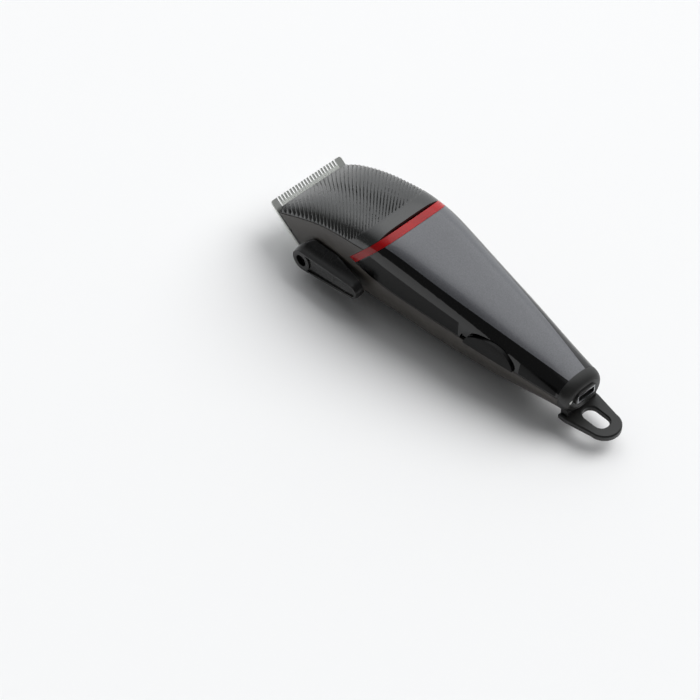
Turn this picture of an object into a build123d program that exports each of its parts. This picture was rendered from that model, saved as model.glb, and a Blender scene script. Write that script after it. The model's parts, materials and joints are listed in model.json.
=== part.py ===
from build123d import *
import math
import os

# Cordless hair clipper, lying on its belly. Millimetres.
# +X runs from the blade tips to the hang loop, +Z is up towards the top panel, and
# -Y is the side with the taper lever and the switch. Inside this script x is counted
# from the blade tips; place() moves every piece so that the origin is the middle of
# the flat rest face under the belly.

# ---------------------------------------------------------------- driving dimensions
REST_X = 85.0            # blade tips to the middle of the rest face
BODY_REAR = 160.6        # blade tips to the end cap joint
WALL = 2.4               # shell wall
SHELL_GAP = 0.15         # half of the visible line between two shells
FIT = 0.05               # gap round a piece that is set into another
RUN_FIT = 0.05           # radial clearance of a turning fit
RUN_GAP = 0.30           # gap between outer faces that move past each other

# Stations of the outer form: x, half width, height of the widest line, top, bottom,
# and the squareness of the upper and the lower half.
STATIONS = (
    (4.0, 20.8, 15.0, 20.9, -0.5, 4.6, 3.0),
    (7.0, 20.9, 15.5, 23.3, -0.5, 4.6, 3.0),
    (13.0, 21.0, 16.8, 27.7, -0.5, 4.6, 3.0),
    (20.0, 21.15, 18.4, 31.8, -0.5, 4.6, 3.0),
    (32.0, 21.3, 21.5, 36.8, -0.5, 4.6, 2.9),
    (45.0, 21.4, 23.0, 40.6, -0.5, 4.6, 2.8),
    (58.0, 21.4, 23.2, 42.9, -0.5, 4.6, 2.6),
    (68.0, 21.0, 22.8, 43.5, -0.5, 4.4, 2.4),
    (80.0, 20.0, 22.0, 42.2, -0.5, 4.2, 2.3),
    (95.0, 18.4, 21.0, 39.7, -0.5, 3.8, 2.3),
    (110.0, 16.8, 20.3, 37.2, -0.1, 3.4, 2.2),
    (125.0, 15.2, 19.8, 34.2, 1.2, 3.1, 2.1),
    (140.0, 13.5, 19.2, 31.0, 4.0, 2.7, 2.1),
    (152.0, 12.1, 18.8, 28.2, 6.8, 2.4, 2.1),
    (BODY_REAR + 6.0, 10.5, 18.3, 25.0, 9.6, 2.2, 2.1),
)
SECTION_POINTS = 32

# Blade set. Both plates are square to one slanted mating plane. s runs back along the
# plane from the tips, w stands square to it, into the body.
BLADE_TIP_Z = 20.8
BLADE_ANGLE = 36.5
BLADE_W = 40.6
FIXED_LENGTH = 29.5
FIXED_T = 1.4
TOOTH_PITCH = 1.65
TOOTH_COUNT = 20
TOOTH_GAP = 0.80
TOOTH_ROOT_S = 7.6
END_TOOTH_R = 1.3
TIP_T = 0.5
BEVEL_LENGTH = 9.0
CUTTER_SETBACK = 2.6
CUTTER_REAR_S = 20.5
CUTTER_T = 1.3
CUTTER_W = 33.4
CUTTER_STROKE = 0.9      # to each side of the middle
PLATE_GAP = 0.03         # oil film between the plates
BLADE_TRAVEL = 1.5       # how far the taper lever draws the fixed blade back
BLADE_SCREW_Y = 9.0
BLADE_SCREW_S = 26.2
BLADE_SCREW_D = 3.0
BLADE_SCREW_HEAD_D = 5.4

# Seat of the blade set on the body.
HEAD_LIP_S = 4.3
SEAT_W = 2.8
SEAT_WALL = 1.9
FRONT_WALL = 2.0
CARRIER_T = 2.4
CARRIER_ARM = 2.3
CARRIER_FRONT_S = 6.2
CARRIER_BAR_S = 21.6
SLIDE_S0 = 23.3
SLIDE_S1 = 29.0
SLIDE_HALF_Y = 12.4
RETAINER_T = 1.3
RETAINER_OVER = 1.6
RETAINER_SCREW_Y = 4.5
CARRIER_NOTCH_S = 14.6
SPRING_T = 0.4
SPRING_HALF_Y = 16.5
SPRING_FINGER_Y = 11.5

# Trim ring: a slab between two parallel slanted planes.
RING_FRONT_X = 49.9      # front plane at the height RING_FOOT_Z
RING_FOOT_Z = 25.3
RING_LEAN = 0.815        # run towards the rear for each millimetre of height
RING_T_X = 4.1           # measured along X
RING_DEPTH = 2.4

# Lines on the sides, as x and z: the seam of the shells, the seam of the head cover,
# the upper edges of the side strips; and the plan of the top panel's edge, as x and y.
SEAM = ((40.0, 26.8), (51.9, 25.3), (60.0, 23.6), (72.0, 22.1), (90.0, 21.1), (110.0, 20.3),
        (135.0, 19.6), (170.0, 19.1))
HEAD_SEAM = ((0.0, 16.6), (8.5, 20.0), (19.3, 25.2), (31.7, 30.2), (44.0, 33.1), (62.0, 35.8))
STRIP_TOP = ((46.0, 34.5), (66.0, 33.9), (80.0, 32.2), (99.0, 29.6), (120.0, 27.5))
STRIP_TOP_REAR = ((130.0, 26.9), (150.0, 24.3), (170.0, 21.4))
PANEL_EDGE = ((46.0, 19.0), (66.0, 17.5), (90.0, 15.1), (120.0, 11.3), (150.0, 6.6), (170.0, 3.2))
PANEL_T = 1.4
PANEL_FLOOR_Z = 24.0
STRIP_T = 1.0
STRIP_MARGIN = 0.5       # web of the upper shell between a strip and the seam
STRIP_FRONT_END_X = 109.6
STRIP_REAR_X = 141.0
STRIP_TAIL_X = 159.4

# Switch on the -Y side.
SWITCH_X = 126.0
SWITCH_HALF = 12.6
SWITCH_RISE = 7.8
SWITCH_PROUD = 1.3
SWITCH_SINK = 0.65
SWITCH_TRAVEL = 2.4
SWITCH_SLOPE = 6.0       # the side of the body tapers by this angle there
SWITCH_STEM = 4.0
SWITCH_STEM_Z = 23.4
SWITCH_BODY_Y = 10.4
SWITCH_STEM_OUT = 14.6

# Taper lever on the -Y side.
LEVER_X = 27.5
LEVER_Z = 11.0
LEVER_IN_Y = -22.3
LEVER_OUT_Y = -28.4
LEVER_ANGLE = 8.0
LEVER_REACH = 30.6
LEVER_HUB_R = 5.3
LEVER_TIP_R = 3.7
LEVER_ROOT_RISE = 4.6    # the root stands higher and further back on the side of the body
LEVER_ROOT_BACK = 4.4
LEVER_ROOT_R = 5.8
LEVER_ROOT_REACH = 12.0
LEVER_ARM_Y = -24.7      # inner face of the arm, clear of the body
LEVER_POCKET = 0.8
LEVER_RIM = 1.1
LEVER_SHAFT_D = 6.0
LEVER_BOSS_D = 11.0
LEVER_SWING = 38.0
LEVER_SCREW_HEAD_D = 5.2
CRANK_E = BLADE_TRAVEL / (2 * math.sin(math.radians(LEVER_SWING / 2)))
CRANK_PIN_D = 2.4
CRANK_DISC_D = 7.0
CRANK_DISC_T = 1.5
CRANK_DISC_Y = -14.5

# Drive.
MOTOR_D = 24.0
MOTOR_X = 36.5
MOTOR_L = 27.0
MOTOR_Z = 17.6
MOTOR_CAN_T = 1.0
MOTOR_SHAFT_D = 2.0
MAGNET_T = 2.4
ARMATURE_GAP = 0.6
BRACKET_T = 2.0
BUSHING_D = 6.0
ECC_E = 0.9
ECC_PIN_D = 2.4
ECC_HUB_D = 7.6
ECC_HUB_T = 4.0
FORK_T = 4.0
FORK_WALL = 1.6

# Power.
CELL_D = 14.2
CELL_L = 50.0
CELL_X = 67.5
CELL_Z = 14.0
TAB_T = 0.3
BOARD_T = 1.2
BOARD_X0 = 124.5
BOARD_X1 = 147.0
BOARD_Z = 16.4
BOARD_W = 14.0
LEAD_D = 1.4
LEAD_Y = (2.6, 5.2)
LEAD_Z = 23.4

# End cap, charging socket and hang loop.
CAP_LENGTH = 4.9
SPIGOT_LENGTH = 3.0
SPIGOT_WALL = 1.4
LOOP_TIP_X = 184.4
LOOP_TOP_Z = 9.5
LOOP_T = 3.0
LOOP_R = 7.4
LOOP_ROOT_HALF = 9.8
LOOP_SLOT_W = 7.2
LOOP_SLOT_X0 = 166.2
LOOP_SLOT_X1 = 179.0
SOCKET_W = 9.0
SOCKET_H = 3.2
SOCKET_Z = 18.4
SOCKET_WALL = 0.7
SOCKET_LENGTH = 8.0
TONGUE_T = 0.7
COLLAR_W = 12.6
COLLAR_H = 6.6
COLLAR_T = 1.0
LED_D = 2.0
LED_Y = -7.9

# Fasteners.
SCREW_D = 2.4
SCREW_HEAD_D = 4.4
SCREW_HEAD_T = 1.6
BOSS_D = 6.0
CASE_SCREWS = ((67.6, 13.2), (67.6, -13.2), (151.5, 0.0))
CASE_SCREW_L = 16.0
BOARD_SCREW_D = 2.0
BOARD_PEGS = ((BOARD_X0 + 2.2, 4.8), (BOARD_X1 - 2.2, 4.8), (BOARD_X1 - 2.2, -4.8))
MOTOR_SCREW_Y = 8.5


# ---------------------------------------------------------------- frames and helpers
COS = math.cos(math.radians(BLADE_ANGLE))
SIN = math.sin(math.radians(BLADE_ANGLE))
BLADE = Plane(origin=(0, 0, BLADE_TIP_Z), x_dir=(COS, 0, -SIN), z_dir=(SIN, 0, COS))
BIG = 400.0


def block(x0, x1, y0, y1, z0, z1):
    """A box between two corners."""
    return Pos((x0 + x1) / 2, (y0 + y1) / 2, (z0 + z1) / 2) * Box(x1 - x0, y1 - y0, z1 - z0)


def rod_x(x0, x1, y, z, diameter):
    """A cylinder along X."""
    return Pos((x0 + x1) / 2, y, z) * Rot(0, 90, 0) * Cylinder(diameter / 2, x1 - x0)


def rod_y(x, z, y0, y1, diameter):
    """A cylinder along Y."""
    return Pos(x, (y0 + y1) / 2, z) * Rot(90, 0, 0) * Cylinder(diameter / 2, y1 - y0)


def rod_z(x, y, z0, z1, diameter):
    """A cylinder along Z."""
    return Pos(x, y, (z0 + z1) / 2) * Cylinder(diameter / 2, z1 - z0)


def section(row, inset):
    """One closed section of the outer form, moved inwards by inset."""
    x, width, middle, top, bottom, upper_power, lower_power = row
    points = []
    for i in range(SECTION_POINTS):
        turn = 2 * math.pi * i / SECTION_POINTS
        c, s = math.cos(turn), math.sin(turn)
        height = top - middle if s >= 0 else middle - bottom
        power = upper_power if s >= 0 else lower_power
        share = abs(c / (width - inset)) ** power + abs(s / (height - inset)) ** power
        points.append((share ** (-1 / power) * c, middle + share ** (-1 / power) * s))
    frame = Plane(origin=(x, 0, 0), x_dir=(0, 1, 0), z_dir=(1, 0, 0))
    return frame * make_face(Spline(points, periodic=True))


def form(inset):
    """The whole outer form as a solid, moved inwards by inset."""
    return loft([section(row, inset) for row in STATIONS])


def outer():
    """The outer form with the flat rest face cut under the belly."""
    return form(0) & block(-BIG, BIG, -BIG, BIG, 0, BIG)


def side_slab(outline):
    """An outline in x and z, carried right across the body."""
    return extrude(Plane.XZ * make_face(outline), amount=BIG / 2, both=True)


def above(curve, lift=0.0):
    """Everything above a line on the side."""
    points = [(x, z + lift) for x, z in curve]
    top = Polyline(points[-1], (points[-1][0], BIG), (points[0][0], BIG), points[0])
    return side_slab(Curve() + [Spline(points), top])


def below(curve, lift=0.0):
    """Everything below a line on the side."""
    points = [(x, z + lift) for x, z in curve]
    bottom = Polyline(points[-1], (points[-1][0], -BIG), (points[0][0], -BIG), points[0])
    return side_slab(Curve() + [Spline(points), bottom])


def ring_band(x0, x1):
    """The slab between two planes that lean like the trim ring, x at the ring's foot."""
    low = -RING_LEAN * BIG / 4
    high = RING_LEAN * BIG / 4
    z0 = RING_FOOT_Z - BIG / 4
    z1 = RING_FOOT_Z + BIG / 4
    return side_slab(Polyline((x0 + low, z0), (x1 + low, z0), (x1 + high, z1), (x0 + high, z1),
                              (x0 + low, z0)))


def plan_region(curve, inset, x0, x1):
    """The plan between a mirrored edge curve, cut to x0..x1, as a tall solid."""
    right = [(x, y - inset) for x, y in curve]
    left = [(x, -y) for x, y in reversed(right)]
    ends = [Line(right[-1], left[0]), Line(left[-1], right[0])]
    tall = extrude(make_face(Curve() + [Spline(right), Spline(left)] + ends), amount=BIG)
    return tall & block(x0, x1, -BIG, BIG, PANEL_FLOOR_Z, BIG)


def blade_block(s0, s1, y0, y1, w0, w1):
    """A box in the frame of the blade set."""
    return BLADE * block(s0, s1, y0, y1, w0, w1)


def blade_rod(s, y, w0, w1, diameter):
    """A cylinder that stands square to the mating plane."""
    return BLADE * rod_z(s, y, w0, w1, diameter)


def to_blade(x, z):
    """The s and w of a point on the middle plane."""
    return x * COS - (z - BLADE_TIP_Z) * SIN, x * SIN + (z - BLADE_TIP_Z) * COS


def line_height(curve, x):
    """Height of a side line at x, by straight lines between its points."""
    for low, high in zip(curve, curve[1:]):
        if x <= high[0]:
            break
    return low[1] + (high[1] - low[1]) * (x - low[0]) / (high[0] - low[0])


# ---------------------------------------------------------------- derived places
SEAT_INNER_W = SEAT_W + SEAT_WALL
SEAM_Z = line_height(SEAM, CASE_SCREWS[0][0])
SWITCH_Z = line_height(SEAM, SWITCH_X) + 4 * SHELL_GAP
LED_Z = SOCKET_Z + 0.2
ECC_X = MOTOR_X - BRACKET_T - ECC_HUB_T - 0.6
FORK_SLOT = ECC_E + ECC_PIN_D / 2 + RUN_GAP
FORK_SLOT_Y = FORK_SLOT + CUTTER_STROKE
FORK_HALF_Y = FORK_SLOT_Y + FORK_WALL
RETAINER_Y0 = CRANK_DISC_Y + RUN_GAP
RETAINER_Y1 = -RETAINER_Y0
BLADE_SCREW_TOP = SEAT_INNER_W - FIT - 0.4

# ---------------------------------------------------------------- shared solids
RING_REAR_X = RING_FRONT_X + RING_T_X
BODY_ZONE = blade_block(HEAD_LIP_S, BIG, -BIG, BIG, SEAT_W, BIG)
BODY_ZONE = BODY_ZONE & block(-BIG, BODY_REAR, -BIG, BIG, -BIG, BIG)
HEAD_ZONE = ring_band(-BIG / 2, RING_FRONT_X - SHELL_GAP)
REAR_ZONE = ring_band(RING_REAR_X + SHELL_GAP, BIG / 2)
LEVER_S, LEVER_W = to_blade(LEVER_X, LEVER_Z)
CRANK_START = math.radians(-LEVER_SWING / 2)
CRANK_S = LEVER_S + CRANK_E * math.sin(CRANK_START)
CRANK_W = LEVER_W - CRANK_E * math.cos(CRANK_START)


# ---------------------------------------------------------------- housing
def screw(x, y, z_head, length):
    """A pan head screw along Z, its head below, with a cross recess."""
    head = rod_z(x, y, z_head, z_head + SCREW_HEAD_T, SCREW_HEAD_D)
    shank = rod_z(x, y, z_head, z_head + length, SCREW_D)
    cross = block(x - 1.2, x + 1.2, y - 0.3, y + 0.3, z_head - 1, z_head + 0.9)
    cross += block(x - 0.3, x + 0.3, y - 1.2, y + 1.2, z_head - 1, z_head + 0.9)
    return head + shank - cross


def screw_head_z(x):
    """Height of a case screw's head, sunk into the belly."""
    return 5.6 if x < REST_X else 10.4


def case_screws():
    return [screw(x, y, screw_head_z(x), CASE_SCREW_L) for x, y in CASE_SCREWS]


def screw_columns(low, high):
    """Bosses round the case screws between two heights."""
    columns = [rod_z(x, y, low, high, BOSS_D) for x, y in CASE_SCREWS]
    return Compound(children=columns)


def switch_outline(grow, travel):
    """D-shaped bar through the -Y side: half an ellipse that stands on the seam."""
    face = Pos(SWITCH_X, SWITCH_Z) * Ellipse(SWITCH_HALF + grow, SWITCH_RISE + grow)
    bar = extrude(Plane.XZ * face, amount=BIG / 2)
    bar = bar & block(-BIG, BIG, -BIG, 0, SWITCH_Z - grow, BIG)
    steps = (0, 0.5, 1) if travel else (0,)
    swept = bar
    for step in steps[1:]:
        swept += Pos(-travel * step * math.cos(math.radians(SWITCH_SLOPE)), 0, 0) * bar
    return swept


def seat_windows():
    """Openings of the blade seat: for the cutter's arm and for the carrier's slide."""
    reach = CUTTER_STROKE + RUN_GAP + FORK_HALF_Y
    arm = blade_block(9.4, 21.0, -reach, reach, SEAT_W - 1, SEAT_INNER_W + 1)
    side = SLIDE_HALF_Y + RUN_GAP
    slide = blade_block(SLIDE_S0 - RUN_GAP, SLIDE_S1 + BLADE_TRAVEL + RUN_GAP, -side, side,
                        SEAT_W - 1, SEAT_INNER_W + 1)
    return arm + slide


def motor_cradle():
    """Two ribs of the lower shell that hold the motor can."""
    ribs = []
    for x in (MOTOR_X + 6, MOTOR_X + MOTOR_L - 8):
        rib = block(x, x + 2, -MOTOR_D / 2 - 3, MOTOR_D / 2 + 3, 0, MOTOR_Z)
        ribs.append(rib & form(WALL - 0.2))
    hole = rod_x(MOTOR_X - 1, MOTOR_X + MOTOR_L + 1, 0, MOTOR_Z, MOTOR_D + 2 * FIT)
    return ribs[0] + ribs[1] - hole


def cell_cradle():
    """Two ribs of the lower shell that hold the battery cell."""
    ribs = []
    for x in (CELL_X + 8, CELL_X + CELL_L - 10):
        ribs.append(block(x, x + 2, -CELL_D / 2 - 2, CELL_D / 2 + 2, 0, CELL_Z) & form(WALL - 0.2))
    hole = rod_x(CELL_X - 1, CELL_X + CELL_L + 1, 0, CELL_Z, CELL_D + 2 * FIT)
    return ribs[0] + ribs[1] - hole


def board_posts():
    """Pegs of the lower shell under the circuit board, with their screw holes."""
    pegs = [rod_z(x, y, 0, BOARD_Z, 3.6) & form(WALL - 0.2) for x, y in BOARD_PEGS]
    holes = [rod_z(x, y, BOARD_Z - 5.2, BIG, BOARD_SCREW_D + 2 * FIT) for x, y in BOARD_PEGS]
    return Compound(children=[peg - hole for peg, hole in zip(pegs, holes)])


def lower_shell():
    """Belly, sides of the head, blade seat and the cradles inside."""
    zone = below(SEAM) + (below(HEAD_SEAM, -SHELL_GAP) & HEAD_ZONE)
    zone += block(-BIG, SEAM[0][0] + 1, -BIG, BIG, -BIG, HEAD_SEAM[0][1] - 1)
    body = outer() & zone & BODY_ZONE
    hollow = form(WALL) - blade_block(-BIG, BIG, -BIG, BIG, -BIG, SEAT_INNER_W)
    shell = body - hollow
    boss = rod_y(LEVER_X, LEVER_Z, LEVER_IN_Y + RUN_GAP, CRANK_DISC_Y - CRANK_DISC_T - RUN_GAP,
                 LEVER_BOSS_D)
    boss = boss & block(-BIG, BIG, -BIG, BIG, 0, BIG) & BODY_ZONE
    columns = screw_columns(0, SEAM_Z - SHELL_GAP) & outer() & below(SEAM, -SHELL_GAP)
    shell = shell + boss + motor_cradle() + cell_cradle() + board_posts() + columns
    shell -= seat_windows()
    shell -= rod_y(LEVER_X, LEVER_Z, LEVER_OUT_Y, -5, LEVER_SHAFT_D + 2 * RUN_FIT)
    shell -= rod_x(MOTOR_X - 1, MOTOR_X + MOTOR_L + 1, 0, MOTOR_Z, MOTOR_D + 2 * FIT)
    for x, y in CASE_SCREWS:
        shell -= rod_z(x, y, -1, screw_head_z(x) + SCREW_HEAD_T, SCREW_HEAD_D + 0.4)
        shell -= rod_z(x, y, 0, 40, SCREW_D + 2 * FIT)
    return shell


def upper_shell():
    """Cover of the handle, with seats for the panel, the strips and the switch."""
    zone = above(SEAM, 2 * SHELL_GAP) & REAR_ZONE & BODY_ZONE
    behind_ring = ring_band(RING_REAR_X + RING_DEPTH, BIG / 2)
    hollow = form(WALL) - (screw_columns(SEAM_Z - 1, 60) & behind_ring)
    shell = (outer() & zone) - hollow
    shell -= panel_zone(-FIT) - form(PANEL_T)
    for side in (-1, 1):
        shell -= side_half(side) & strip_front_zone(-FIT) - form(STRIP_T)
        shell -= side_half(side) & strip_rear_zone(-FIT) - form(STRIP_T)
    shell -= switch_pocket() - form(STRIP_T)
    shell -= block(SWITCH_X - SWITCH_STEM / 2 - SWITCH_TRAVEL - RUN_GAP,
                   SWITCH_X + SWITCH_STEM / 2 + RUN_GAP, -BIG, 0,
                   SWITCH_STEM_Z - SWITCH_STEM / 2 - RUN_GAP,
                   SWITCH_STEM_Z + SWITCH_STEM / 2 + RUN_GAP)
    for x, y in CASE_SCREWS:
        shell -= rod_z(x, y, 0, screw_head_z(x) + CASE_SCREW_L + 0.5, SCREW_D + 2 * FIT)
    return shell


def head_cover():
    """Cover of the head, from the front lip to the trim ring."""
    zone = above(HEAD_SEAM, SHELL_GAP) & HEAD_ZONE & BODY_ZONE
    lip = blade_block(HEAD_LIP_S, HEAD_LIP_S + FRONT_WALL, -BIG, BIG, SEAT_W, BIG)
    return (outer() & zone) - (form(WALL) - lip)


def trim_ring():
    """Slanted bright band between the head cover and the handle."""
    band = ring_band(RING_FRONT_X, RING_REAR_X) & above(SEAM, SHELL_GAP)
    return (outer() - form(RING_DEPTH)) & band


def panel_zone(inset):
    front = ring_band(RING_REAR_X + SHELL_GAP, BIG / 2)
    return plan_region(PANEL_EDGE, inset, 50, BODY_REAR) & front


def top_panel():
    """Long tapering panel on top of the handle."""
    return (outer() - form(PANEL_T)) & panel_zone(0) & REAR_ZONE


def strip_front_zone(inset):
    band = above(SEAM, 2 * SHELL_GAP + STRIP_MARGIN + inset) & below(STRIP_TOP, -inset)
    ends = ring_band(RING_REAR_X + 4 * SHELL_GAP + inset, BIG / 2)
    return band & ends & block(-BIG, STRIP_FRONT_END_X - inset, -BIG, BIG, 0, BIG)


def strip_rear_zone(inset):
    band = above(SEAM, 2 * SHELL_GAP + STRIP_MARGIN + inset) & below(STRIP_TOP_REAR, -inset)
    return band & block(STRIP_REAR_X + inset, STRIP_TAIL_X - inset, -BIG, BIG, 0, BIG)


def side_half(side):
    """Everything on the -Y or the +Y side of the middle plane."""
    return block(-BIG, BIG, 0, BIG, -BIG, BIG) if side > 0 else block(-BIG, BIG, -BIG, 0, -BIG, BIG)


def strip(zone, side):
    """One side strip: the part of the skin inside a zone, on one side."""
    return (outer() - form(STRIP_T)) & zone & side_half(side)


# ---------------------------------------------------------------- end cap and socket
def loop_plan():
    """Plan of the hang loop: tapering sides and a round tip, with a long slot."""
    centre = LOOP_TIP_X - LOOP_R
    root = BODY_REAR + SHELL_GAP
    sides = make_face(Polyline((root, -LOOP_ROOT_HALF), (root + 4, -LOOP_ROOT_HALF), (centre, -LOOP_R),
                               (centre, LOOP_R), (root + 4, LOOP_ROOT_HALF), (root, LOOP_ROOT_HALF),
                               (root, -LOOP_ROOT_HALF)))
    tip = Pos(centre, 0) * Circle(LOOP_R)
    slot_length = LOOP_SLOT_X1 - LOOP_SLOT_X0
    slot = Pos((LOOP_SLOT_X0 + LOOP_SLOT_X1) / 2, 0) * SlotOverall(slot_length, LOOP_SLOT_W)
    return sides + tip - slot


def cap_row(x, inset):
    """The outer form's station at x, shrunk by inset."""
    for low, high in zip(STATIONS, STATIONS[1:]):
        if x <= high[0]:
            break
    share = (x - low[0]) / (high[0] - low[0])
    row = [a + (b - a) * share for a, b in zip(low, high)]
    return section(row, inset)


def end_cap():
    """Tail cap with its spigot, the socket's collar and the hang loop, in one piece."""
    front = BODY_REAR + SHELL_GAP
    rows = [cap_row(front, 0), cap_row(front + 2.6, 0.2), cap_row(front + 4.0, 0.9)]
    last = cap_row(front + 4.6, 2.0)
    cap = loft(rows + [Pos(CAP_LENGTH - 4.6, 0, 0) * last])
    spigot = form(WALL + FIT) & block(front - SPIGOT_LENGTH, front + 0.5, -BIG, BIG, -BIG, BIG)
    cap = cap + spigot
    core = form(WALL + FIT + SPIGOT_WALL) & block(0, front + 2.0, -BIG, BIG, -BIG, BIG)
    cap -= core
    plate = extrude(Pos(0, 0, LOOP_TOP_Z - LOOP_T) * loop_plan(), amount=LOOP_T)
    plate = chamfer(plate.edges().filter_by(Plane.XY), 0.5)
    chin = block(front, front + 3.8, -LOOP_ROOT_HALF + 1.5, LOOP_ROOT_HALF - 1.5,
                 LOOP_TOP_Z - LOOP_T + 0.5, LOOP_TOP_Z + 3)
    chin = fillet(chin.edges().filter_by(Axis.Y).sort_by(Axis.X)[-2:], 1.2)
    rear = front + CAP_LENGTH
    collar = Plane(origin=(rear - 1.5, 0, SOCKET_Z), x_dir=(0, 1, 0), z_dir=(1, 0, 0))
    collar = extrude(collar * SlotOverall(COLLAR_W, COLLAR_H), amount=1.5 + COLLAR_T)
    cap = cap + plate + chin + collar
    outer_w = SOCKET_W / 2 + SOCKET_WALL + FIT
    outer_h = SOCKET_H / 2 + SOCKET_WALL + FIT
    cap -= block(0, BIG, -outer_w, outer_w, SOCKET_Z - outer_h, SOCKET_Z + outer_h)
    return cap - rod_x(0, BIG, LED_Y, LED_Z, LED_D + 2 * FIT)


def charging_socket():
    """Metal shell of the charging socket, open to the rear."""
    x1 = BODY_REAR + SHELL_GAP + CAP_LENGTH + COLLAR_T - 0.2
    x0 = x1 - SOCKET_LENGTH
    w, h, t = SOCKET_W / 2, SOCKET_H / 2, SOCKET_WALL
    case = block(x0, x1, -w - t, w + t, SOCKET_Z - h - t, SOCKET_Z + h + t)
    return case - block(x0 + t, x1 + 1, -w, w, SOCKET_Z - h, SOCKET_Z + h)


def socket_tongue():
    """Contact tongue inside the socket."""
    x1 = BODY_REAR + SHELL_GAP + CAP_LENGTH + COLLAR_T - 1.4
    x0 = x1 - SOCKET_LENGTH + SOCKET_WALL + 1.2
    return block(x0, x1, -SOCKET_W / 3, SOCKET_W / 3, SOCKET_Z - TONGUE_T / 2, SOCKET_Z + TONGUE_T / 2)


def charge_led():
    front = BODY_REAR + SHELL_GAP
    return rod_x(front + 0.2, front + CAP_LENGTH - 0.3, LED_Y, LED_Z, LED_D)


# ---------------------------------------------------------------- power
def battery_cell():
    cell = rod_x(CELL_X, CELL_X + CELL_L, 0, CELL_Z, CELL_D)
    return fillet(cell.edges(), 0.8) + rod_x(CELL_X + CELL_L - 0.5, CELL_X + CELL_L + 1, 0, CELL_Z, 5.5)


def battery_tabs():
    """Contact strips welded to the two ends of the cell."""
    rear = CELL_X + CELL_L + 1
    z1 = CELL_Z + CELL_D / 2 + 1
    return [block(CELL_X - TAB_T, CELL_X, -2, 2, CELL_Z - 2, z1),
            block(rear, rear + TAB_T, -2, 2, CELL_Z - 2, z1)]


def battery_foam():
    """Foam pad between the cell and the belly."""
    pad = block(CELL_X + 14, CELL_X + CELL_L - 15, -5, 5, 0, CELL_Z) & form(WALL + FIT)
    return pad - rod_x(CELL_X, CELL_X + CELL_L, 0, CELL_Z, CELL_D + 2 * FIT)


def circuit_board():
    board = block(BOARD_X0, BOARD_X1, -BOARD_W / 2, BOARD_W / 2, BOARD_Z, BOARD_Z + BOARD_T)
    for x, y in BOARD_PEGS:
        board -= rod_z(x, y, 0, BIG, BOARD_SCREW_D + 2 * FIT)
    chip = block(BOARD_X1 - 9, BOARD_X1 - 5, -2, 2, BOARD_Z + BOARD_T, BOARD_Z + BOARD_T + 1)
    return board + chip


def board_screws():
    """Short screws that hold the board on its pegs."""
    top = BOARD_Z + BOARD_T
    return [rod_z(x, y, top - 5, top, BOARD_SCREW_D) + rod_z(x, y, top, top + 1, 3.0)
            for x, y in BOARD_PEGS]


def switch_housing():
    """Slide switch on the board, with a slot for its knob."""
    z0 = BOARD_Z + BOARD_T
    z1 = SWITCH_STEM_Z + 2.6
    body = block(SWITCH_X - 6, SWITCH_X + 5, -SWITCH_BODY_Y, -2, z0, z1)
    return body - block(SWITCH_X - 1.3 - SWITCH_TRAVEL - 0.2, SWITCH_X + 1.5, -SWITCH_BODY_Y - 1,
                        -SWITCH_BODY_Y + 3.2, SWITCH_STEM_Z - 1.5, SWITCH_STEM_Z + 1.5)


def lead_pair(x0, z0, x1, z1):
    """Two insulated leads side by side, up over the cell and down again."""
    leads = []
    for y in LEAD_Y:
        route = FilletPolyline((x0, y, z0), (x0 + 6, y, LEAD_Z), (x1 - 6, y, LEAD_Z), (x1, y, z1),
                               radius=4)
        end = Plane(origin=route @ 0, z_dir=route % 0)
        leads.append(sweep(end * Circle(LEAD_D / 2), path=route))
    return leads


def motor_leads():
    return lead_pair(MOTOR_X + MOTOR_L + 0.1, MOTOR_Z + 3, BOARD_X0 + 5, BOARD_Z + BOARD_T + 1)


def battery_leads():
    """Leads from the two contact strips, along the top of the cell, down to the board."""
    leads = []
    x1 = BOARD_X0 + 3
    for y, x0 in ((-1.0, CELL_X + 1), (1.0, CELL_X + CELL_L + 1)):
        z = CELL_Z + CELL_D / 2 + 1 + LEAD_D / 2
        leads.append(rod_x(x0, x1, y, z, LEAD_D) + rod_z(x1, y, BOARD_Z + BOARD_T, z, LEAD_D))
    return leads


# ---------------------------------------------------------------- drive
def motor_can():
    """Steel can of the motor, closed in front round the bushing."""
    x0, x1 = MOTOR_X, MOTOR_X + MOTOR_L - 3
    can = rod_x(x0, x1, 0, MOTOR_Z, MOTOR_D)
    can -= rod_x(x0 + MOTOR_CAN_T, x1 + 1, 0, MOTOR_Z, MOTOR_D - 2 * MOTOR_CAN_T)
    for y in (-MOTOR_SCREW_Y, MOTOR_SCREW_Y):
        can -= rod_x(x0 - 1, x0 + 2, y, MOTOR_Z, SCREW_D + 2 * FIT)
    return can - rod_x(x0 - 1, x0 + 2, 0, MOTOR_Z, BUSHING_D + 2 * FIT)


def motor_end_bell():
    """Plastic end bell that closes the can at the rear and carries the terminals."""
    x0, x1 = MOTOR_X + MOTOR_L - 3, MOTOR_X + MOTOR_L
    bell = rod_x(x0, x1, 0, MOTOR_Z, MOTOR_D)
    bell += rod_x(x0 - 2, x0, 0, MOTOR_Z, MOTOR_D - 2 * MOTOR_CAN_T - 2 * FIT)
    bell -= rod_x(x0 - 3, x0 + 1, 0, MOTOR_Z, MOTOR_D - 2 * MOTOR_CAN_T - 3)
    return bell - rod_x(x0 - 3, x1 - 1, 0, MOTOR_Z, MOTOR_SHAFT_D + 2 * RUN_FIT)


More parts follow.
